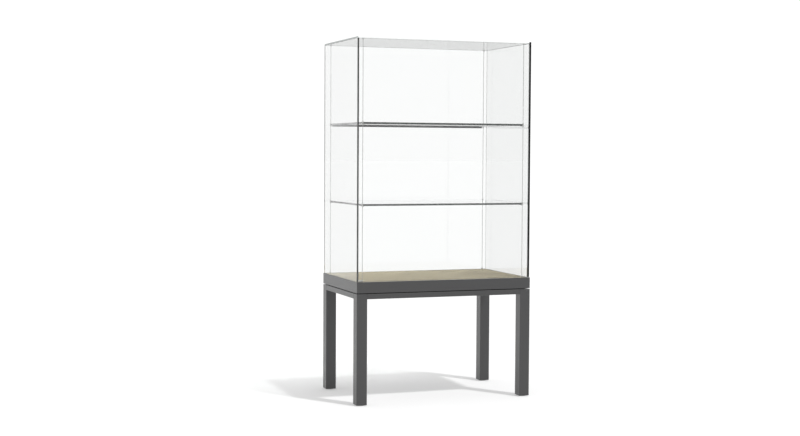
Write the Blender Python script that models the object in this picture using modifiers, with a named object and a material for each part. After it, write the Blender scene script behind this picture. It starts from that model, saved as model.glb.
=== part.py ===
"""Free-standing glass display case: a steel table, a shallow tray, an all-glass hood with a pivoted front
door, and two glass shelves clamped on four thin rods.

Metres, +Z up. X runs along the front from left to right, the front faces -Y, and the origin is on the
floor under the middle of the case.
"""

from math import atan2, radians

import bmesh
import bpy
from mathutils import Matrix, Vector

# Driving dimensions
CASE_WIDTH = 1.000
CASE_DEPTH = 0.600
CASE_HEIGHT = 1.940
TABLE_TOP = 0.592
SHADOW_GAP = 0.004
DECK_TOP = 0.655
LEG_SIZE = 0.058
RAIL_SIZE = 0.028
GLASS = 0.008
HOOD_INSET = 0.003
LOWER_SHELF = 1.059
UPPER_SHELF = 1.490
SHELF_GLASS = 0.010
ROD_INSET_X = 0.035
ROD_INSET_Y = 0.026

# Gap kept between pieces that touch, and how far a cutter runs past the face that it opens
GAP = 0.0003
PAST = 0.004

# Table
LEG_WALL = 0.003
LEG_BOTTOM = 0.004
LEG_CAP = 0.004
LEG_EDGE = 0.0012
RAIL_WALL = 0.002
INSERT_SETBACK = 0.0005
INSERT_HEIGHT = 0.015
STUD_RADIUS = 0.005
STUD_TOP = 0.045
FOOT_PAD_RADIUS = 0.020
FOOT_PAD_HEIGHT = 0.003
CHAMFER = 0.001

# The set-back band that keeps the shadow gap, and its pegs down into the legs and up into the tray
BAND_INSET = 0.022
BAND_WIDTH = 0.033
PEG_INSET = 0.038
PEG_RADIUS = 0.005
PEG_UP = 0.0015
PEG_DOWN = 0.0035

# Tray, deck and the bearers under the deck
TRAY_BOTTOM = TABLE_TOP + SHADOW_GAP
SHEET = 0.002
FOLD_EDGE = 0.0008
RIM_WIDTH = 0.012
COVERING = 0.002
DECK_BOARD = 0.018
BEARER_LENGTH = 0.900
BEARER_WIDTH = 0.040
BEARER_Y = 0.150
BEARER_EDGE = 0.001

# Hood
HOOD_X = CASE_WIDTH / 2 - HOOD_INSET
HOOD_Y = CASE_DEPTH / 2 - HOOD_INSET
CEILING = CASE_HEIGHT - GLASS
GLASS_EDGE = 0.0004
SEAL = 0.002
SEAL_INSET = 0.0005

# Door: a pane with a metal stile on its right edge, turning on one pin above and one below
DOOR_BOTTOM = DECK_TOP + 0.003
DOOR_TOP = CEILING - 0.0025
STILE_WIDTH = 0.012
STILE_DEPTH = 0.010
STILE_EDGE = 0.0015
PIVOT_INSET = 0.005
PIVOT_X = HOOD_X - PIVOT_INSET
PIVOT_Y = -HOOD_Y + PIVOT_INSET
PIN_RADIUS = 0.0025
PIN_REACH = 0.0125
STILE_BORE_DEPTH = 0.018
PIN_BELOW = 0.005
PIVOT_PLATE = (0.020, 0.0084)
PIVOT_PLATE_INSET = 0.0005
PIVOT_PLATE_TOP = 0.0015
PIVOT_PLATE_BOTTOM = 0.002
RIGHT_PANE_SETBACK = 0.005

# Lock: a key barrel under the tray lifts a bolt through the deck into a keeper on the door
BARREL_X, BARREL_Y = -0.425, -0.264
BOLT_X, BOLT_Y = -0.479, -0.2815
BARREL_RADIUS = 0.008
BARREL_BOTTOM = TRAY_BOTTOM + 0.0005
BARREL_SHOULDER = TRAY_BOTTOM + 0.0105
KEY_SLOT = (0.0016, 0.007, 0.006)
SPINDLE_RADIUS = 0.004
SPINDLE_TOP = TRAY_BOTTOM + 0.035
BOLT_RADIUS = 0.003
BOLT_TOP = DECK_TOP - 0.0005
CARRIAGE_RADIUS = 0.007
CARRIAGE_BOTTOM = TRAY_BOTTOM + 0.0135
CARRIAGE_HEIGHT = 0.010
ARM_WIDTH = 0.0055
ARM_HEIGHT = 0.005
LOCK_LOW = (-0.489, -0.293)
LOCK_HIGH = (-0.409, -0.251)
LOCK_WALL = 0.003
LOCK_EDGE = 0.0006
KEEPER_SIZE = (0.014, 0.014, 0.008)
KEEPER_BOTTOM = DECK_TOP + 0.0025
KEEPER_CROWN = 0.001
KEEPER_EDGE = 0.0005

# Rods, the shelves between them and the clamps
ROD_X = HOOD_X - ROD_INSET_X
ROD_Y = HOOD_Y - ROD_INSET_Y
ROD_RADIUS = 0.0015
ROD_BORE = 0.0018
SOCKET_RADIUS = 0.005
SOCKET_HEIGHT = 0.010
ROD_CAP_HEIGHT = 0.006
ROD_SEAT = 0.002
SHELF_CORNER = 0.007
CLAMP_RADIUS = 0.004
CLAMP_HEIGHT = 0.018
SEAT_REACH = 0.014
SEAT_WIDTH = 0.006
SEAT_DROP = 0.0085

# Bar bonded under the back edge of the upper shelf
BAR_LENGTH = 0.901
BAR_SIZE = 0.0055
BAR_INSET = 0.0005
BAR_EDGE = 0.0005

CORNERS = {"front_left": (-1, -1), "front_right": (1, -1), "back_left": (-1, 1), "back_right": (1, 1)}
ROUND = 32
SMALL_ROUND = 20
SMOOTH_UNDER = radians(40)


def clear_scene():
    for obj in list(bpy.data.objects):
        bpy.data.objects.remove(obj, do_unlink=True)


def new_collection(name):
    collection = bpy.data.collections.new(name)
    bpy.context.scene.collection.children.link(collection)
    return collection


def finish_of(name, color, roughness, metallic=0.0, alpha=1.0, transmission=0.0):
    """A Principled material in the piece's own colour."""
    made = bpy.data.materials.new(name)
    made.use_nodes = True
    shader = made.node_tree.nodes["Principled BSDF"]
    shader.inputs["Base Color"].default_value = (*color, 1.0)
    shader.inputs["Roughness"].default_value = roughness
    shader.inputs["Metallic"].default_value = metallic
    shader.inputs["Alpha"].default_value = alpha
    shader.inputs["Transmission Weight"].default_value = transmission
    made.diffuse_color = (*color, alpha)
    return made


def powder_coat(name):
    return finish_of(name, (0.105, 0.105, 0.108), 0.5)


def steel(name):
    return finish_of(name, (0.62, 0.62, 0.60), 0.3, metallic=1.0)


def clear_glass(name):
    return finish_of(name, (0.93, 0.97, 0.95), 0.02, alpha=0.35, transmission=1.0)


def piece(name, mesh, place, material):
    """A named sub-part in the case's collection."""
    obj = bpy.data.objects.new(name, mesh)
    obj.location = place
    mesh.materials.append(material)
    case.objects.link(obj)
    return obj


def helper(name, mesh, place):
    """A shape that only cuts or joins another: it is not a sub-part."""
    obj = bpy.data.objects.new(name, mesh)
    obj.location = place
    obj.hide_render = True
    obj.display_type = "WIRE"
    cutters.objects.link(obj)
    return obj


def mesh_from(bm, name):
    mesh = bpy.data.meshes.new(name)
    bm.to_mesh(mesh)
    bm.free()
    return mesh


def box_mesh(name, size):
    bm = bmesh.new()
    bmesh.ops.create_cube(bm, size=1.0, matrix=Matrix.Diagonal((*size, 1.0)))
    return mesh_from(bm, name)


def cylinder_mesh(name, radius, height, sides):
    bm = bmesh.new()
    bmesh.ops.create_cone(
        bm, cap_ends=True, segments=sides, radius1=radius, radius2=radius, depth=height
    )
    mesh = mesh_from(bm, name)
    mesh.shade_smooth()
    mesh.set_sharp_from_angle(angle=SMOOTH_UNDER)
    return mesh


def middle_and_size(low, high):
    low, high = Vector(low), Vector(high)
    return (low + high) / 2, high - low


def box(name, low, high, material, edge=0.0):
    """A box between two corners, its edges rounded by edge."""
    middle, size = middle_and_size(low, high)
    obj = piece(name, box_mesh(name, size), middle, material)
    if edge:
        round_edges(obj, edge)
    return obj


def box_helper(name, low, high):
    middle, size = middle_and_size(low, high)
    return helper(name, box_mesh(name, size), middle)


def cylinder(name, x, y, low, high, radius, material, sides=ROUND):
    mesh = cylinder_mesh(name, radius, high - low, sides)
    return piece(name, mesh, (x, y, (low + high) / 2), material)


def cylinder_helper(name, x, y, low, high, radius, sides=ROUND):
    return helper(name, cylinder_mesh(name, radius, high - low, sides), (x, y, (low + high) / 2))


def round_edges(obj, width, segments=2):
    bevel = obj.modifiers.new("rounded edges", "BEVEL")
    bevel.width = width
    bevel.segments = segments
    bevel.limit_method = "ANGLE"


def combine(obj, other, operation):
    boolean = obj.modifiers.new(other.name, "BOOLEAN")
    boolean.operation = operation
    boolean.solver = "EXACT"
    boolean.object = other


def cut(obj, *others):
    for other in others:
        combine(obj, other, "DIFFERENCE")


def join(obj, *others):
    for other in others:
        combine(obj, other, "UNION")


def turned(name, x, y, profile, material, steps=ROUND):
    """A turned piece about the vertical line through x, y. The profile is (radius, height), top to bottom."""
    guide = bpy.data.meshes.new(name)
    edges = [(i, i + 1) for i in range(len(profile) - 1)]
    guide.from_pydata([(radius, 0.0, height) for radius, height in profile], edges, [])
    obj = piece(name, guide, (x, y, 0.0), material)
    screw = obj.modifiers.new("turned", "SCREW")
    screw.axis = "Z"
    screw.steps = steps
    screw.render_steps = steps
    screw.use_merge_vertices = True
    screw.merge_threshold = 0.00005
    return obj


def axis_empty(name, place, *children):
    """An empty on a joint's axis, which carries the pieces that move with it."""
    empty = bpy.data.objects.new(name, None)
    empty.location = place
    empty.empty_display_size = 0.03
    case.objects.link(empty)
    for child in children:
        child.parent = empty
        child.matrix_parent_inverse = Matrix.Translation(place).inverted()


def at_corner(side_x, side_y, inset):
    """The point set in by inset from both outer faces at one corner of the case."""
    return side_x * (CASE_WIDTH / 2 - inset), side_y * (CASE_DEPTH / 2 - inset)


def build_legs():
    bore = LEG_SIZE / 2 - LEG_WALL
    for corner, (side_x, side_y) in CORNERS.items():
        x, y = at_corner(side_x, side_y, LEG_SIZE / 2)
        half = LEG_SIZE / 2
        leg = box(
            "leg_" + corner,
            (x - half, y - half, LEG_BOTTOM),
            (x + half, y + half, TABLE_TOP),
            powder_coat("leg powder coat"),
            LEG_EDGE,
        )
        hollow = box_helper(
            "leg hollow " + corner,
            (x - bore, y - bore, LEG_BOTTOM - PAST),
            (x + bore, y + bore, TABLE_TOP - LEG_CAP),
        )
        hole_x, hole_y = at_corner(side_x, side_y, PEG_INSET)
        peg_hole = cylinder_helper(
            "leg peg hole " + corner,
            hole_x, hole_y, TABLE_TOP - LEG_CAP - PAST, TABLE_TOP + PAST, PEG_RADIUS + GAP,
        )
        cut(leg, hollow, peg_hole)


def build_rail(name, low, high, along):
    """A square tube between two legs, open at both ends. along is 0 for X and 1 for Y."""
    rail = box(name, low, high, powder_coat("rail powder coat"), LEG_EDGE)
    inner_low = [value + RAIL_WALL for value in low]
    inner_high = [value - RAIL_WALL for value in high]
    inner_low[along] = low[along] - PAST
    inner_high[along] = high[along] + PAST
    cut(rail, box_helper(name + " hollow", inner_low, inner_high))


def build_rails():
    reach_x = CASE_WIDTH / 2 - LEG_SIZE - GAP
    reach_y = CASE_DEPTH / 2 - LEG_SIZE - GAP
    outer_x, outer_y = CASE_WIDTH / 2, CASE_DEPTH / 2
    inner_x, inner_y = outer_x - RAIL_SIZE, outer_y - RAIL_SIZE
    low, high = TABLE_TOP - RAIL_SIZE, TABLE_TOP
    build_rail("rail_front", (-reach_x, -outer_y, low), (reach_x, -inner_y, high), 0)
    build_rail("rail_back", (-reach_x, inner_y, low), (reach_x, outer_y, high), 0)
    build_rail("rail_left", (-outer_x, -reach_y, low), (-inner_x, reach_y, high), 1)
    build_rail("rail_right", (inner_x, -reach_y, low), (outer_x, reach_y, high), 1)


def build_feet():
    """Square threaded inserts in the leg ends, and the levelling feet that screw in and out of them."""
    half = LEG_SIZE / 2 - LEG_WALL - GAP
    insert_low = LEG_BOTTOM + INSERT_SETBACK
    insert_high = insert_low + INSERT_HEIGHT
    profile = [
        (0.0, STUD_TOP),
        (STUD_RADIUS - CHAMFER, STUD_TOP),
        (STUD_RADIUS, STUD_TOP - CHAMFER),
        (STUD_RADIUS, FOOT_PAD_HEIGHT),
        (FOOT_PAD_RADIUS - CHAMFER, FOOT_PAD_HEIGHT),
        (FOOT_PAD_RADIUS, FOOT_PAD_HEIGHT - CHAMFER),
        (FOOT_PAD_RADIUS, 0.0),
        (0.0, 0.0),
    ]
    for corner, (side_x, side_y) in CORNERS.items():
        x, y = at_corner(side_x, side_y, LEG_SIZE / 2)
        insert = box(
            "foot_insert_" + corner,
            (x - half, y - half, insert_low),
            (x + half, y + half, insert_high),
            finish_of("insert plastic", (0.03, 0.03, 0.03), 0.5),
        )
        thread = cylinder_helper(
            "insert thread " + corner,
            x, y, insert_low - PAST, insert_high + PAST, STUD_RADIUS + GAP, SMALL_ROUND,
        )
        cut(insert, thread)
        foot = turned("levelling_foot_" + corner, x, y, profile, steel("foot zinc"), SMALL_ROUND)
        axis_empty("screw axis " + corner, (x, y, 0.0), foot)


def build_gap_band():
    """A flat band set back from the faces, with a hole for the key and a peg at each leg."""
    low, high = TABLE_TOP + GAP, TRAY_BOTTOM - GAP
    out_x, out_y = CASE_WIDTH / 2 - BAND_INSET, CASE_DEPTH / 2 - BAND_INSET
    in_x, in_y = out_x - BAND_WIDTH, out_y - BAND_WIDTH
    through = (low - PAST, high + PAST)
    band = box(
        "gap_band",
        (-out_x, -out_y, low),
        (out_x, out_y, high),
        finish_of("band plastic", (0.02, 0.02, 0.02), 0.6),
    )
    window = box_helper("band window", (-in_x, -in_y, through[0]), (in_x, in_y, through[1]))
    cut(band, window, cylinder_helper("band key hole", BARREL_X, BARREL_Y, *through, BARREL_RADIUS + 2 * GAP))
    for corner, sides in CORNERS.items():
        x, y = at_corner(*sides, PEG_INSET)
        join(band, cylinder_helper("band peg " + corner, x, y, low - PEG_DOWN, high + PEG_UP, PEG_RADIUS))


def build_tray():
    """A folded sheet pan whose top edge turns in to make the rim that the hood stands on."""
    half_x, half_y = CASE_WIDTH / 2, CASE_DEPTH / 2
    tray = box(
        "base_tray",
        (-half_x, -half_y, TRAY_BOTTOM),
        (half_x, half_y, DECK_TOP),
        powder_coat("tray powder coat"),
        FOLD_EDGE,
    )
    inner_x, inner_y = half_x - SHEET, half_y - SHEET
    hollow = box_helper(
        "tray hollow",
        (-inner_x, -inner_y, TRAY_BOTTOM + SHEET),
        (inner_x, inner_y, DECK_TOP - SHEET),
    )
    open_x, open_y = half_x - RIM_WIDTH, half_y - RIM_WIDTH
    mouth = box_helper(
        "tray mouth", (-open_x, -open_y, DECK_TOP - PAST), (open_x, open_y, DECK_TOP + PAST)
    )
    cut(tray, hollow, mouth)
    floor = (TRAY_BOTTOM - PAST, TRAY_BOTTOM + SHEET + PAST)
    for corner, sides in CORNERS.items():
        x, y = at_corner(*sides, PEG_INSET)
        cut(tray, cylinder_helper("tray peg hole " + corner, x, y, *floor, PEG_RADIUS + GAP))
    cut(tray, cylinder_helper("tray key hole", BARREL_X, BARREL_Y, *floor, BARREL_RADIUS + 2 * GAP))
    rim = (DECK_TOP - SHEET - PAST, DECK_TOP + PAST)
    cut(tray, cylinder_helper("rim pivot hole", PIVOT_X, PIVOT_Y, *rim, PIN_RADIUS + GAP, SMALL_ROUND))


def build_deck():
    half_x = CASE_WIDTH / 2 - RIM_WIDTH - GAP
    half_y = CASE_DEPTH / 2 - RIM_WIDTH - GAP
    board_top = DECK_TOP - COVERING - GAP
    board_bottom = board_top - DECK_BOARD + GAP
    board = box(
        "deck_board",
        (-half_x, -half_y, board_bottom),
        (half_x, half_y, board_top),
        finish_of("deck fibreboard", (0.36, 0.26, 0.16), 0.8),
    )
    covering = box(
        "deck_covering",
        (-half_x, -half_y, DECK_TOP - COVERING),
        (half_x, half_y, DECK_TOP),
        finish_of("deck linoleum", (0.47, 0.44, 0.33), 0.8),
    )
    for sheet in (board, covering):
        hole = cylinder_helper(
            "bolt hole " + sheet.name,
            BOLT_X, BOLT_Y, board_bottom - PAST, DECK_TOP + PAST, BOLT_RADIUS + GAP, SMALL_ROUND,
        )
        cut(sheet, hole)
    through = (DECK_TOP - COVERING - PAST, DECK_TOP + PAST)
    for corner, (side_x, side_y) in CORNERS.items():
        x, y = side_x * ROD_X, side_y * ROD_Y
        hole = cylinder_helper("socket hole " + corner, x, y, *through, SOCKET_RADIUS + GAP, SMALL_ROUND)
        cut(covering, hole)
    for name, side in (("deck_bearer_front", -1), ("deck_bearer_back", 1)):
        y = side * BEARER_Y
        box(
            name,
            (-BEARER_LENGTH / 2, y - BEARER_WIDTH / 2, TRAY_BOTTOM + SHEET + GAP),
            (BEARER_LENGTH / 2, y + BEARER_WIDTH / 2, board_bottom - GAP),
            finish_of("bearer timber", (0.55, 0.40, 0.24), 0.7),
            BEARER_EDGE,
        )


def build_lock_case():
    """The lock's case under the deck, open at the back, with a hole for the barrel and one for the bolt."""
    low = TRAY_BOTTOM + SHEET + GAP
    high = DECK_TOP - COVERING - DECK_BOARD - GAP
    housing = box(
        "lock_housing",
        (*LOCK_LOW, low),
        (*LOCK_HIGH, high),
        finish_of("lock zinc casting", (0.5, 0.5, 0.5), 0.4, metallic=1.0),
        LOCK_EDGE,
    )
    hollow = box_helper(
        "lock hollow",
        (LOCK_LOW[0] + LOCK_WALL, LOCK_LOW[1] + LOCK_WALL, low + LOCK_WALL),
        (LOCK_HIGH[0] - LOCK_WALL, LOCK_HIGH[1] + PAST, high - LOCK_WALL),
    )
    barrel_hole = cylinder_helper(
        "barrel hole", BARREL_X, BARREL_Y, low - PAST, low + LOCK_WALL + PAST, BARREL_RADIUS + GAP
    )
    bolt_hole = cylinder_helper(
        "housing bolt hole",
        BOLT_X, BOLT_Y, high - LOCK_WALL - PAST, high + PAST, BOLT_RADIUS + GAP, SMALL_ROUND,
    )
    cut(housing, hollow, barrel_hole, bolt_hole)


def build_lock_barrel():
    """The key barrel, with its slot below and the steep-threaded spindle above that lifts the bolt."""
    profile = [
        (0.0, SPINDLE_TOP),
        (SPINDLE_RADIUS, SPINDLE_TOP),
        (SPINDLE_RADIUS, BARREL_SHOULDER),
        (BARREL_RADIUS, BARREL_SHOULDER),
        (BARREL_RADIUS, BARREL_BOTTOM),
        (0.0, BARREL_BOTTOM),
    ]
    brass = finish_of("barrel brass", (0.75, 0.6, 0.3), 0.3, metallic=1.0)
    barrel = turned("lock_barrel", BARREL_X, BARREL_Y, profile, brass, ROUND)
    width, length, depth = KEY_SLOT
    key_slot = box_helper(
        "key slot",
        (BARREL_X - width / 2, BARREL_Y - length / 2, BARREL_BOTTOM - PAST),
        (BARREL_X + width / 2, BARREL_Y + length / 2, BARREL_BOTTOM + depth),
    )
    cut(barrel, key_slot)
    axis_empty("key axis", (BARREL_X, BARREL_Y, BARREL_BOTTOM), barrel)


def build_lock_bolt():
    """The bolt pin, joined by an arm to the carriage that rides on the barrel's spindle."""
    low, high = CARRIAGE_BOTTOM, CARRIAGE_BOTTOM + CARRIAGE_HEIGHT
    bolt = cylinder(
        "lock_bolt", BOLT_X, BOLT_Y, low, BOLT_TOP, BOLT_RADIUS, steel("bolt steel"), SMALL_ROUND
    )
    carriage = cylinder_helper("bolt carriage", BARREL_X, BARREL_Y, low, high, CARRIAGE_RADIUS)
    run = Vector((BARREL_X - BOLT_X, BARREL_Y - BOLT_Y, 0.0))
    arm = helper(
        "bolt arm",
        box_mesh("bolt arm", (run.length, ARM_WIDTH, ARM_HEIGHT)),
        Vector((BOLT_X, BOLT_Y, (low + high) / 2)) + run / 2,
    )
    arm.rotation_euler.z = atan2(run.y, run.x)
    join(bolt, carriage, arm)
    spindle_bore = cylinder_helper(
        "carriage bore", BARREL_X, BARREL_Y, low - PAST, high + PAST, SPINDLE_RADIUS + GAP
    )
    cut(bolt, spindle_bore)
    axis_empty("bolt axis", (BOLT_X, BOLT_Y, low), bolt)


def build_hood():
    """The four fixed panes and the seal that the door closes on."""
    foot, head = DECK_TOP + GAP, CEILING - GAP
    back_face = HOOD_Y - GLASS
    door_face = -HOOD_Y + GLASS
    left_front = door_face + SEAL + 2 * GAP
    right_front = door_face + RIGHT_PANE_SETBACK
    inner_x = HOOD_X - GLASS
    panes = (
        ("glass_top", (-HOOD_X, -HOOD_Y, CEILING), (HOOD_X, HOOD_Y, CASE_HEIGHT)),
        ("glass_back", (-HOOD_X, back_face, foot), (HOOD_X, HOOD_Y, head)),
        ("glass_left", (-HOOD_X, left_front, foot), (-inner_x, back_face - GAP, head)),
        ("glass_right", (inner_x, right_front, foot), (HOOD_X, back_face - GAP, head)),
    )
    for name, low, high in panes:
        box(name, low, high, clear_glass("pane glass"), GLASS_EDGE)
    notch = box_helper(
        "top notch",
        (HOOD_X - STILE_WIDTH - GAP, -HOOD_Y - PAST, CEILING - PAST),
        (HOOD_X + PAST, -HOOD_Y + STILE_DEPTH + GAP, CASE_HEIGHT + PAST),
    )
    cut(case.objects["glass_top"], notch)
    box(
        "door_seal",
        (-HOOD_X + SEAL_INSET, door_face + GAP, DOOR_BOTTOM),
        (-inner_x - SEAL_INSET, left_front - GAP, DOOR_TOP),
        finish_of("black silicone", (0.02, 0.02, 0.02), 0.5),
    )


def build_door():
    door_face = -HOOD_Y + GLASS
    stile_left = HOOD_X - STILE_WIDTH
    glass = box(
        "door_glass",
        (-HOOD_X, -HOOD_Y, DOOR_BOTTOM),
        (stile_left - GAP, door_face, DOOR_TOP),
        clear_glass("door pane glass"),
        GLASS_EDGE,
    )
    stile = box(
        "hinge_stile",
        (stile_left, -HOOD_Y, DOOR_BOTTOM),
        (HOOD_X, -HOOD_Y + STILE_DEPTH, DOOR_TOP),
        powder_coat("stile powder coat"),
        STILE_EDGE,
    )
    for name, mouth, inward in (("lower", DOOR_BOTTOM, 1), ("upper", DOOR_TOP, -1)):
        ends = sorted((mouth - inward * PAST, mouth + inward * STILE_BORE_DEPTH))
        bore = cylinder_helper(
            "stile bore " + name, PIVOT_X, PIVOT_Y, *ends, PIN_RADIUS + GAP, SMALL_ROUND
        )
        cut(stile, bore)
    keeper_low = Vector((BOLT_X - KEEPER_SIZE[0] / 2, door_face + GAP, KEEPER_BOTTOM))
    keeper_high = keeper_low + Vector(KEEPER_SIZE)
    keeper = box("lock_keeper", keeper_low, keeper_high, steel("keeper steel"), KEEPER_EDGE)
    keeper_bore = cylinder_helper(
        "keeper bore",
        BOLT_X, BOLT_Y, KEEPER_BOTTOM - PAST, keeper_high.z - KEEPER_CROWN, BOLT_RADIUS + GAP, SMALL_ROUND,
    )
    cut(keeper, keeper_bore)
    axis_empty("door axis", (PIVOT_X, PIVOT_Y, DOOR_BOTTOM), glass, stile, keeper)


def build_pivots():
    """The fixed parts that carry the door's two pins: a plate on the rim, and a block that fills the top
    pane's notch over the stile, with a plate bonded under the pane."""
    length, width = PIVOT_PLATE
    right = HOOD_X - PIVOT_PLATE_INSET
    low_x, low_y = right - length, PIVOT_Y - width / 2
    plate_high = CEILING - GAP
    top = box(
        "pivot_block_top",
        (HOOD_X - STILE_WIDTH, -HOOD_Y, plate_high - PIVOT_PLATE_TOP),
        (HOOD_X, -HOOD_Y + STILE_DEPTH, CASE_HEIGHT),
        powder_coat("pivot powder coat"),
        STILE_EDGE,
    )
    join(top, box_helper(
        "top plate",
        (low_x, low_y, plate_high - PIVOT_PLATE_TOP),
        (right, low_y + width, plate_high),
    ))
    join(top, cylinder_helper(
        "top pin",
        PIVOT_X, PIVOT_Y, DOOR_TOP - PIN_REACH, plate_high - PIVOT_PLATE_TOP / 2, PIN_RADIUS, SMALL_ROUND,
    ))
    plate_low = DECK_TOP + GAP
    bottom = box(
        "pivot_plate_bottom",
        (low_x, low_y, plate_low),
        (right, low_y + width, plate_low + PIVOT_PLATE_BOTTOM),
        steel("pivot steel"),
    )
    join(bottom, cylinder_helper(
        "bottom pin",
        PIVOT_X, PIVOT_Y, DECK_TOP - PIN_BELOW, DOOR_BOTTOM + PIN_REACH, PIN_RADIUS, SMALL_ROUND,
    ))


def build_rods():
    """Each rod stands in a socket on the deck board and ends in a cap bonded under the top pane."""
    foot = DECK_TOP - COVERING
    socket_top, socket_floor = foot + SOCKET_HEIGHT, foot + ROD_SEAT
    socket = [
        (0.0, socket_floor),
        (ROD_BORE, socket_floor),
        (ROD_BORE, socket_top),
        (SOCKET_RADIUS - CHAMFER, socket_top),
        (SOCKET_RADIUS, socket_top - CHAMFER),
        (SOCKET_RADIUS, foot),
        (0.0, foot),
    ]
    head = CEILING - GAP
    cap_bottom, cap_floor = head - ROD_CAP_HEIGHT, head - ROD_SEAT
    cap = [
        (0.0, head),
        (SOCKET_RADIUS, head),
        (SOCKET_RADIUS, cap_bottom + CHAMFER),
        (SOCKET_RADIUS - CHAMFER, cap_bottom),
        (ROD_BORE, cap_bottom),
        (ROD_BORE, cap_floor),
        (0.0, cap_floor),
    ]
    for corner, (side_x, side_y) in CORNERS.items():
        x, y = side_x * ROD_X, side_y * ROD_Y
        cylinder(
            "rod_" + corner,
            x, y, socket_floor + GAP, cap_floor - GAP, ROD_RADIUS, steel("rod stainless"), SMALL_ROUND,
        )
        turned("rod_socket_" + corner, x, y, socket, steel("socket stainless"), SMALL_ROUND)
        turned("rod_cap_" + corner, x, y, cap, steel("cap stainless"), SMALL_ROUND)


def shelf_mesh(name):
    """A pane with its four upright corners cut off at 45 degrees, to leave room for the rods."""
    bm = bmesh.new()
    size = (2 * ROD_X, 2 * ROD_Y, SHELF_GLASS, 1.0)
    bmesh.ops.create_cube(bm, size=1.0, matrix=Matrix.Diagonal(size))
    upright = [edge for edge in bm.edges if abs(edge.verts[0].co.z - edge.verts[1].co.z) > SHELF_GLASS / 2]
    bmesh.ops.bevel(bm, geom=upright, offset=SHELF_CORNER, segments=1, affect="EDGES")
    return mesh_from(bm, name)


def build_clamp(name, side_x, side_y, height):
    """A barrel that grips the rod, with a seat that reaches in under the shelf's corner."""
    x, y = side_x * ROD_X, side_y * ROD_Y
    inward = Vector((-side_x, -side_y, 0.0)).normalized()
    low, high = height - CLAMP_HEIGHT / 2, height + CLAMP_HEIGHT / 2
    clamp = cylinder(name, x, y, low, high, CLAMP_RADIUS, steel("clamp stainless"), SMALL_ROUND)
    seat_low, seat_high = height - SEAT_DROP, height - SHELF_GLASS / 2 - GAP
    seat = helper(
        name + " seat",
        box_mesh(name + " seat", (SEAT_REACH, SEAT_WIDTH, seat_high - seat_low)),
        Vector((x, y, (seat_low + seat_high) / 2)) + inward * SEAT_REACH / 2,
    )
    seat.rotation_euler.z = atan2(inward.y, inward.x)
    join(clamp, seat)
    cut(clamp, cylinder_helper(name + " bore", x, y, low - PAST, high + PAST, ROD_BORE, SMALL_ROUND))
    return clamp


def build_shelf_bar():
    bar_top = UPPER_SHELF - SHELF_GLASS / 2 - GAP
    bar_back = ROD_Y - BAR_INSET
    return box(
        "shelf_bar",
        (-BAR_LENGTH / 2, bar_back - BAR_SIZE, bar_top - BAR_SIZE),
        (BAR_LENGTH / 2, bar_back, bar_top),
        powder_coat("bar powder coat"),
        BAR_EDGE,
    )


def build_shelves():
    for level, height in (("lower", LOWER_SHELF), ("upper", UPPER_SHELF)):
        name = "shelf_" + level
        shelf = piece(name, shelf_mesh(name), (0.0, 0.0, height), clear_glass("shelf glass"))
        round_edges(shelf, GLASS_EDGE)
        clamps = [
            build_clamp("clamp_" + level + "_" + corner, *sides, height)
            for corner, sides in CORNERS.items()
        ]
        bars = [build_shelf_bar()] if level == "upper" else []
        axis_empty("slide axis " + level, (0.0, 0.0, height), shelf, *clamps, *bars)


clear_scene()
case = new_collection("display_case")
cutters = new_collection("cutters")
build_legs()
build_rails()
build_feet()
build_gap_band()
build_tray()
build_deck()
build_lock_case()
build_lock_barrel()
build_lock_bolt()
build_hood()
build_door()
build_pivots()
build_rods()
build_shelves()
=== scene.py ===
"""Looks for the glass display case: finishes of the CAD nodes, floor, light and camera."""
from math import radians

import bpy
from mathutils import Matrix, Vector


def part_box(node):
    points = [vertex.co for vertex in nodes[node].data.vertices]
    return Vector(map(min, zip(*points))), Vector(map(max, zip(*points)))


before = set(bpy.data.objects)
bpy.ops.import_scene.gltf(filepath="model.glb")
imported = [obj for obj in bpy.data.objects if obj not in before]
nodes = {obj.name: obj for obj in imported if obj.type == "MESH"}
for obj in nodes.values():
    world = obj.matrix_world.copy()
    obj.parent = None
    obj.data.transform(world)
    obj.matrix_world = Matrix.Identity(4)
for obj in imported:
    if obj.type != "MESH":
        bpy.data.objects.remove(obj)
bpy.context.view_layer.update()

scene = bpy.context.scene

# Camera, found from the object's edges
CAMERA_PLACE = (-2.781, -7.142, 1.338)
CAMERA_YAW = radians(-20.216)
CAMERA_PITCH = radians(90 - 2.731)
CAMERA_ROLL = radians(0.30)
CAMERA_LENS = 62.15
CAMERA_SENSOR = 36.0

# Room: how bright it lights and is seen, and how bright its mirror image is in each direction
ROOM_LIGHT = 0.73
ROOM_SEEN = 1.11
MIRRORED_ABOVE = 1.14
MIRRORED_BELOW = 0.74
MIRRORED_LEFT = 0.81
MIRRORED_FRONT = 0.55
HORIZON = (-0.01, 0.02)
SIDEWAYS = (-0.1, 0.1)

# Soft sun from the right and in front
SUN_STRENGTH = 1.82
SUN_ANGLE = radians(4)
SUN_TOWARDS = Vector((-0.37, 0.57, -1.0))

# Floor: its size, its own faint light, the light that falls on it, and where left turns to right
FLOOR_SIZE = 400.0
FLOOR_COLOR = (0.64, 0.64, 0.64)
FLOOR_GLOW = 0.32
FLOOR_LIGHT = 1.21
FLOOR_SIDES = (-3.0, 3.0)

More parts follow.
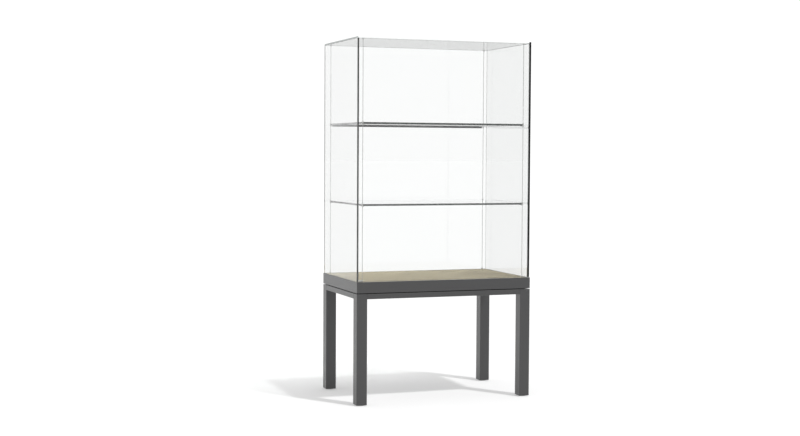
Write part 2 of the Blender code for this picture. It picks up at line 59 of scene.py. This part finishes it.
# Finishes, as linear colours, with painted shade on some glass and a painted highlight on one glass edge,
# as marked
POWDER_COAT = (0.029, 0.029, 0.030)
STILE_BLACK = (0.005, 0.005, 0.006)
LINING = (0.264, 0.223, 0.133)
FACE_TINT = (0.969, 0.974, 0.972)
# The right pane's tint is darker than the other panes': painted shade for its grazing view
RIGHT_PANE_PAINTED_SHADE = (0.902, 0.907, 0.905)
GROUND_EDGE = (0.46, 0.49, 0.48)
# A brighter copy of GROUND_EDGE for the top pane's front edge: painted highlight
TOP_EDGE_PAINTED_HIGHLIGHT = (0.88, 0.90, 0.89)
# Near black on the panes' free edges and a shelf's front edge: painted shade; a shelf's other edges keep
# the pale SIDE_TINT
GLASS_EDGE_PAINTED_SHADE = (0.012, 0.014, 0.013)
SIDE_TINT = (0.93, 0.94, 0.935)
STAINLESS = (0.60, 0.60, 0.59)
FIBREBOARD = (0.36, 0.26, 0.16)
SOFTWOOD = (0.60, 0.43, 0.25)
NYLON = (0.02, 0.02, 0.02)
SILICONE = (0.015, 0.015, 0.015)
ZINC_PLATE = (0.58, 0.58, 0.56)
DIE_CAST = (0.42, 0.42, 0.43)
BRASS = (0.70, 0.52, 0.24)
WHITE = (1.0, 1.0, 1.0)

# What each kind of glass lets through of the sun
UPRIGHT_SHADE = (0.88, 0.885, 0.882)
LEVEL_SHADE = (0.95, 0.955, 0.953)
EDGE_SHADE = (0.8, 0.85, 0.83)
END_SHADE = (0.95, 0.95, 0.95)

# Glass, metal and cloth numbers that more than one finish uses, or that need a name
GLASS_INDEX = 1.5
COAT_INDEX = 1.65
COAT_LAYER = 0.6
COAT_ROUGHNESS = 0.3
ANODISED_INDEX = 1.35
SMOOTH_UNDER = radians(35)
NOISE_RANGE = (0.3, 0.7)
THREADS = 350.0
FINE_GRAIN = 700.0

# How far a face's normal has to lean for a pane's broad face, upper edge, end or front edge
BROAD = 0.99
UPPER = 0.6
FRONT = 0.6
TOP_FRONT = 0.9


# ---- shader helpers ----

def link(tree, a, b):
    tree.links.new(a, b)


def add(tree, kind, **values):
    """A node with its sockets set by name, spaces written as underscores."""
    node = tree.nodes.new(kind)
    for name, value in values.items():
        node.inputs[name.replace("_", " ")].default_value = value
    return node


def start(name):
    """A new material with only a Principled shader: (material, tree, shader)."""
    made = bpy.data.materials.new(name)
    made.use_nodes = True
    tree = made.node_tree
    return made, tree, tree.nodes["Principled BSDF"]


def object_place(tree, scale=(1.0, 1.0, 1.0)):
    """The point in the case's own frame, in metres, stretched by scale."""
    place = tree.nodes.new("ShaderNodeTexCoord")
    mapping = tree.nodes.new("ShaderNodeMapping")
    mapping.inputs["Scale"].default_value = scale
    link(tree, place.outputs["Object"], mapping.inputs["Vector"])
    return mapping.outputs["Vector"]


def noise(tree, place, scale, detail=3.0, roughness=0.55):
    node = add(tree, "ShaderNodeTexNoise", Scale=scale, Detail=detail, Roughness=roughness)
    link(tree, place, node.inputs["Vector"])
    return node.outputs["Fac"]


def ramp(tree, value, start_end, low, high):
    """value mapped from start_end to low to high, and held at the ends."""
    node = tree.nodes.new("ShaderNodeMapRange")
    node.inputs["From Min"].default_value, node.inputs["From Max"].default_value = start_end
    node.inputs["To Min"].default_value = low
    node.inputs["To Max"].default_value = high
    link(tree, value, node.inputs["Value"])
    return node.outputs["Result"]


def spread(tree, value, low, high):
    """Noise mapped to low to high over the range that it mostly stays in."""
    return ramp(tree, value, NOISE_RANGE, low, high)


def mix(tree, factor, first, second, kind="RGBA"):
    """first where factor is 0 and second where it is 1. Each is a socket, a number or a colour."""
    node = tree.nodes.new("ShaderNodeMix")
    node.data_type = kind
    if isinstance(factor, float):
        node.inputs["Factor"].default_value = factor
    else:
        link(tree, factor, node.inputs["Factor"])
    index = {"FLOAT": 2, "RGBA": 6}[kind]
    for socket, value in zip(node.inputs[index:index + 2], (first, second)):
        if isinstance(value, float):
            socket.default_value = value
        elif isinstance(value, tuple):
            socket.default_value = (*value, 1.0)
        else:
            link(tree, value, socket)
    return node


def shades(tree, value, dark, light):
    """A colour between dark and light."""
    return mix(tree, value, dark, light).outputs[2]


def varied(tree, value, color, low, high=1.0):
    """color made low to high times as bright by value."""
    return shades(tree, value, scaled(color, low), scaled(color, high))


def bump(tree, height, distance, strength=1.0):
    node = add(tree, "ShaderNodeBump", Strength=strength, Distance=distance)
    link(tree, height, node.inputs["Height"])
    return node.outputs["Normal"]


def scaled(color, factor):
    return tuple(channel * factor for channel in color)


# ---- materials ----

def powder_coat(name, color, index=COAT_INDEX, coat=COAT_LAYER):
    """Fine-textured satin powder coat on steel, under a clear layer."""
    made, tree, shader = start(name)
    place = object_place(tree)
    link(tree, varied(tree, noise(tree, place, 14.0), color, 0.96, 1.04), shader.inputs["Base Color"])
    link(tree, spread(tree, noise(tree, place, 60.0), 0.30, 0.38), shader.inputs["Roughness"])
    link(tree, bump(tree, noise(tree, place, 650.0, 2.0), 0.00006), shader.inputs["Normal"])
    shader.inputs["IOR"].default_value = index
    shader.inputs["Coat Weight"].default_value = coat
    shader.inputs["Coat Roughness"].default_value = COAT_ROUGHNESS
    return made


def lets_lamps_through(tree, shader, tint):
    """Mixes in a Transparent shader for shadow rays, so that glass casts only a faint shadow."""
    path = tree.nodes.new("ShaderNodeLightPath")
    clear = add(tree, "ShaderNodeBsdfTransparent", Color=(*tint, 1.0))
    mixed = tree.nodes.new("ShaderNodeMixShader")
    link(tree, path.outputs["Is Shadow Ray"], mixed.inputs[0])
    link(tree, shader.outputs[0], mixed.inputs[1])
    link(tree, clear.outputs[0], mixed.inputs[2])
    link(tree, mixed.outputs[0], tree.nodes["Material Output"].inputs["Surface"])


def pane(name, tint, shadow):
    """Clear float glass, very slightly uneven in tint."""
    made, tree, shader = start(name)
    cloud = noise(tree, object_place(tree), 3.0)
    link(tree, varied(tree, cloud, tint, 0.996), shader.inputs["Base Color"])
    shader.inputs["Roughness"].default_value = 0.0
    shader.inputs["IOR"].default_value = GLASS_INDEX
    shader.inputs["Transmission Weight"].default_value = 1.0
    lets_lamps_through(tree, shader, shadow)
    return made


def ground_edge(name, color):
    """A ground and polished glass edge, opaque, in the colour given; the brighter copy on the top pane's
    front edge is a painted highlight.
    """
    made, tree, shader = start(name)
    cloud = noise(tree, object_place(tree), 25.0)
    link(tree, varied(tree, cloud, color, 0.97), shader.inputs["Base Color"])
    link(tree, spread(tree, cloud, 0.12, 0.2), shader.inputs["Roughness"])
    shader.inputs["IOR"].default_value = GLASS_INDEX
    return made


def brushed(name, color, along, roughness=0.28):
    """Metal brushed along one axis, 0 to 2 for X to Z."""
    made, tree, shader = start(name)
    stretch = [FINE_GRAIN] * 3
    stretch[along] = 8.0
    grain = noise(tree, object_place(tree, stretch), 1.0, 4.0)
    link(tree, varied(tree, grain, color, 0.9), shader.inputs["Base Color"])
    link(tree, spread(tree, grain, roughness - 0.06, roughness + 0.08), shader.inputs["Roughness"])
    link(tree, bump(tree, grain, 0.00001), shader.inputs["Normal"])
    shader.inputs["Metallic"].default_value = 1.0
    return made


def woven(name, color):
    """A matt lining cloth: two sets of threads, 0.9 mm apart, with slight shade changes."""
    made, tree, shader = start(name)
    threads = []
    for axis in ("X", "Y"):
        wave = add(tree, "ShaderNodeTexWave", Scale=THREADS, Distortion=0.6, Detail=1.0)
        wave.bands_direction = axis
        link(tree, object_place(tree), wave.inputs["Vector"])
        threads.append(wave.outputs["Fac"])
    weave = tree.nodes.new("ShaderNodeMath")
    weave.operation = "MAXIMUM"
    link(tree, threads[0], weave.inputs[0])
    link(tree, threads[1], weave.inputs[1])
    place = object_place(tree)
    base = varied(tree, noise(tree, place, 9.0, 4.0), color, 0.94, 1.05)
    thread_shade = mix(tree, 0.15, base, noise(tree, place, 420.0, 2.0))
    thread_shade.blend_type = "MULTIPLY"
    link(tree, thread_shade.outputs[2], shader.inputs["Base Color"])
    link(tree, bump(tree, weave.outputs[0], 0.00012, 0.6), shader.inputs["Normal"])
    shader.inputs["Roughness"].default_value = 0.9
    shader.inputs["Sheen Weight"].default_value = 0.1
    return made


def moulded(name, color, roughness=0.5):
    """Moulded plastic with a fine spark-eroded texture."""
    made, tree, shader = start(name)
    place = object_place(tree)
    link(tree, varied(tree, noise(tree, place, 40.0), color, 0.9, 1.1), shader.inputs["Base Color"])
    fine = noise(tree, place, 300.0)
    link(tree, spread(tree, fine, roughness - 0.05, roughness + 0.05), shader.inputs["Roughness"])
    link(tree, bump(tree, noise(tree, place, 1500.0, 2.0), 0.00003), shader.inputs["Normal"])
    return made


def timber(name, color, along):
    """Planed wood or board with its grain along one axis."""
    made, tree, shader = start(name)
    stretch = [60.0, 60.0, 60.0]
    stretch[along] = 3.0
    grain = noise(tree, object_place(tree, stretch), 1.0, 6.0, 0.6)
    link(tree, varied(tree, spread(tree, grain, 0.0, 1.0), color, 0.75), shader.inputs["Base Color"])
    link(tree, bump(tree, grain, 0.0002), shader.inputs["Normal"])
    shader.inputs["Roughness"].default_value = 0.65
    return made


# ---- the CAD nodes' finishes ----

def dress(material, *names):
    for name in names:
        mesh = nodes[name].data
        mesh.materials.clear()
        mesh.materials.append(material)


def named(start_of_name):
    return [name for name in nodes if name.startswith(start_of_name)]


def shade(name):
    mesh = nodes[name].data
    mesh.shade_smooth()
    mesh.set_sharp_from_angle(angle=SMOOTH_UNDER)


def dress_pane(name, faces, edges, ends):
    """Clear glass on a pane's two broad faces and the edges bonded to another pane, and a second finish on
    its free edges: near black as painted shade, or the top pane's grey ground edge.
    A third goes on the top pane's front edge, where it is a brighter copy as a painted highlight, and on
    all but the front edge of a shelf, where it is pale."""
    mesh = nodes[name].data
    mesh.materials.clear()
    for finish in (faces, edges, ends):
        mesh.materials.append(finish)
    low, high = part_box(name)
    size = [high[i] - low[i] for i in range(3)]
    thin = size.index(min(size))
    for polygon in mesh.polygons:
        broad = abs(polygon.normal[thin]) > BROAD
        bonded = thin != 2 and polygon.normal.z > UPPER
        if name == "glass_top":
            third = polygon.normal.y < -TOP_FRONT
        else:
            third = thin == 2 and polygon.normal.y > -FRONT
        polygon.material_index = 0 if broad or bonded else 2 if third else 1


def dress_all():
    coat = powder_coat("anthracite powder coat", POWDER_COAT)
    dress(coat, *named("leg_"), *named("rail_"), "base_tray")
    anodised = powder_coat("black anodised", STILE_BLACK, ANODISED_INDEX, 0.0)
    dress(anodised, "hinge_stile", "shelf_bar", "pivot_block_top")
    dress(woven("olive lining", LINING), "deck_covering")
    dress(timber("fibreboard", FIBREBOARD, 0), "deck_board")
    dress(timber("softwood", SOFTWOOD, 0), *named("deck_bearer"))
    dress(moulded("black nylon", NYLON), *named("foot_insert"), "gap_band")
    dress(brushed("zinc plate", ZINC_PLATE, 2, 0.35), *named("levelling_foot"))
    dress(brushed("die-cast zinc", DIE_CAST, 0, 0.45), "lock_housing")
    dress(brushed("turned brass", BRASS, 2), "lock_barrel")
    dress(moulded("black silicone", SILICONE, 0.35), "door_seal")
    upright = brushed("stainless, drawn", STAINLESS, 2, 0.2)
    flat = brushed("stainless, milled", STAINLESS, 0)
    dress(upright, *[name for name in named("rod_") if "socket" not in name and "cap" not in name])
    dress(flat, *named("rod_socket"), *named("rod_cap"), *named("clamp_"), "pivot_plate_bottom")
    dress(flat, "lock_bolt", "lock_keeper")
    faces = pane("float glass", FACE_TINT, UPRIGHT_SHADE)
    # Free glass edges painted near black: painted shade
    edges = pane("polished glass edge, painted shade", GLASS_EDGE_PAINTED_SHADE, EDGE_SHADE)
    ends = pane("polished glass end", SIDE_TINT, END_SHADE)
    level = pane("float glass, level", FACE_TINT, LEVEL_SHADE)
    # The right pane gets a darker copy of the float glass: painted shade
    right = pane("float glass, right, painted shade", RIGHT_PANE_PAINTED_SHADE, UPRIGHT_SHADE)
    ground = ground_edge("ground glass edge", GROUND_EDGE)
    # The top pane's front edge gets a brighter copy of the ground edge: painted highlight
    dress_pane("glass_top", level, ground, ground_edge("ground glass edge, painted highlight", TOP_EDGE_PAINTED_HIGHLIGHT))
    for name in ("glass_back", "glass_left", "door_glass"):
        dress_pane(name, faces, edges, ends)
    dress_pane("glass_right", right, edges, ends)
    for name in ("shelf_lower", "shelf_upper"):
        dress_pane(name, level, edges, ends)
    for name in nodes:
        shade(name)


# ---- floor, light and camera ----

def path_test(tree, output):
    """1 where the named output of Light Path is 1 or more, otherwise 0."""
    path = tree.nodes.new("ShaderNodeLightPath")
    test = tree.nodes.new("ShaderNodeMath")
    test.operation = "GREATER_THAN"
    test.inputs[1].default_value = 0.5
    link(tree, path.outputs[output], test.inputs[0])
    return test.outputs[0]


def choice(tree, factor, low, high):
    """low where factor is 0 and high where it is 1; each is a number or a socket."""
    return mix(tree, factor, low, high, "FLOAT").outputs[0]


def axes_of(tree, vector):
    """The three parts of a vector, as sockets."""
    split = tree.nodes.new("ShaderNodeSeparateXYZ")
    link(tree, vector, split.inputs["Vector"])
    return split.outputs


def build_floor():
    """A pale floor with a faint even light of its own. Its mirror image is greyer than the floor."""
    bpy.ops.mesh.primitive_plane_add(size=FLOOR_SIZE, location=(0.0, 0.0, 0.0))
    floor = bpy.context.object
    floor.name = "floor"
    made, tree, shader = start("pale floor")
    place = object_place(tree)
    lit = varied(tree, noise(tree, place, 0.5), FLOOR_COLOR, 0.995)
    sideways = ramp(tree, axes_of(tree, place)["X"], FLOOR_SIDES, 0.0, 1.0)
    left = scaled(WHITE, (MIRRORED_LEFT - FLOOR_GLOW) / FLOOR_LIGHT)
    right = scaled(WHITE, (MIRRORED_BELOW - FLOOR_GLOW) / FLOOR_LIGHT)
    mirrored = shades(tree, sideways, left, right)
    link(tree, shades(tree, path_test(tree, "Glossy Depth"), lit, mirrored), shader.inputs["Base Color"])
    shader.inputs["Roughness"].default_value = 1.0
    shader.inputs["Specular IOR Level"].default_value = 0.0
    shader.inputs["Emission Color"].default_value = (*WHITE, 1.0)
    shader.inputs["Emission Strength"].default_value = FLOOR_GLOW
    floor.data.materials.append(made)


def build_room():
    """A white room. It is seen brighter than it lights. Its mirror image is set by direction: to the left,
    to the front, and below and above the horizon at the back."""
    world = bpy.data.worlds.new("white room")
    scene.world = world
    world.use_nodes = True
    tree = world.node_tree
    towards = axes_of(tree, tree.nodes.new("ShaderNodeTexCoord").outputs["Generated"])
    back = ramp(tree, towards["Z"], HORIZON, MIRRORED_BELOW, MIRRORED_ABOVE)
    right = choice(tree, ramp(tree, towards["Y"], SIDEWAYS, 0.0, 1.0), MIRRORED_FRONT, back)
    by_side = choice(tree, ramp(tree, towards["X"], SIDEWAYS, 0.0, 1.0), MIRRORED_LEFT, right)
    by_camera = choice(tree, path_test(tree, "Is Camera Ray"), ROOM_LIGHT, ROOM_SEEN)
    through_glass = choice(tree, path_test(tree, "Is Transmission Ray"), by_camera, ROOM_SEEN)
    mirrored = choice(tree, path_test(tree, "Glossy Depth"), through_glass, by_side)
    background = tree.nodes["Background"]
    background.inputs["Color"].default_value = (*WHITE, 1.0)
    link(tree, mirrored, background.inputs["Strength"])


def build_sun():
    sun = bpy.data.lights.new("soft sun", "SUN")
    sun.energy = SUN_STRENGTH
    sun.angle = SUN_ANGLE
    holder = bpy.data.objects.new("soft sun", sun)
    holder.rotation_euler = SUN_TOWARDS.to_track_quat("-Z", "Y").to_euler()
    scene.collection.objects.link(holder)


def build_camera():
    lens = bpy.data.cameras.new("camera")
    lens.lens = CAMERA_LENS
    lens.sensor_width = CAMERA_SENSOR
    camera = bpy.data.objects.new("camera", lens)
    turn = Matrix.Rotation(CAMERA_YAW, 4, "Z") @ Matrix.Rotation(CAMERA_PITCH, 4, "X")
    turn = turn @ Matrix.Rotation(CAMERA_ROLL, 4, "Z")
    camera.matrix_world = Matrix.Translation(CAMERA_PLACE) @ turn
    scene.collection.objects.link(camera)
    scene.camera = camera
    scene.view_settings.view_transform = "Standard"


build_camera()
build_room()
build_sun()
build_floor()
dress_all()
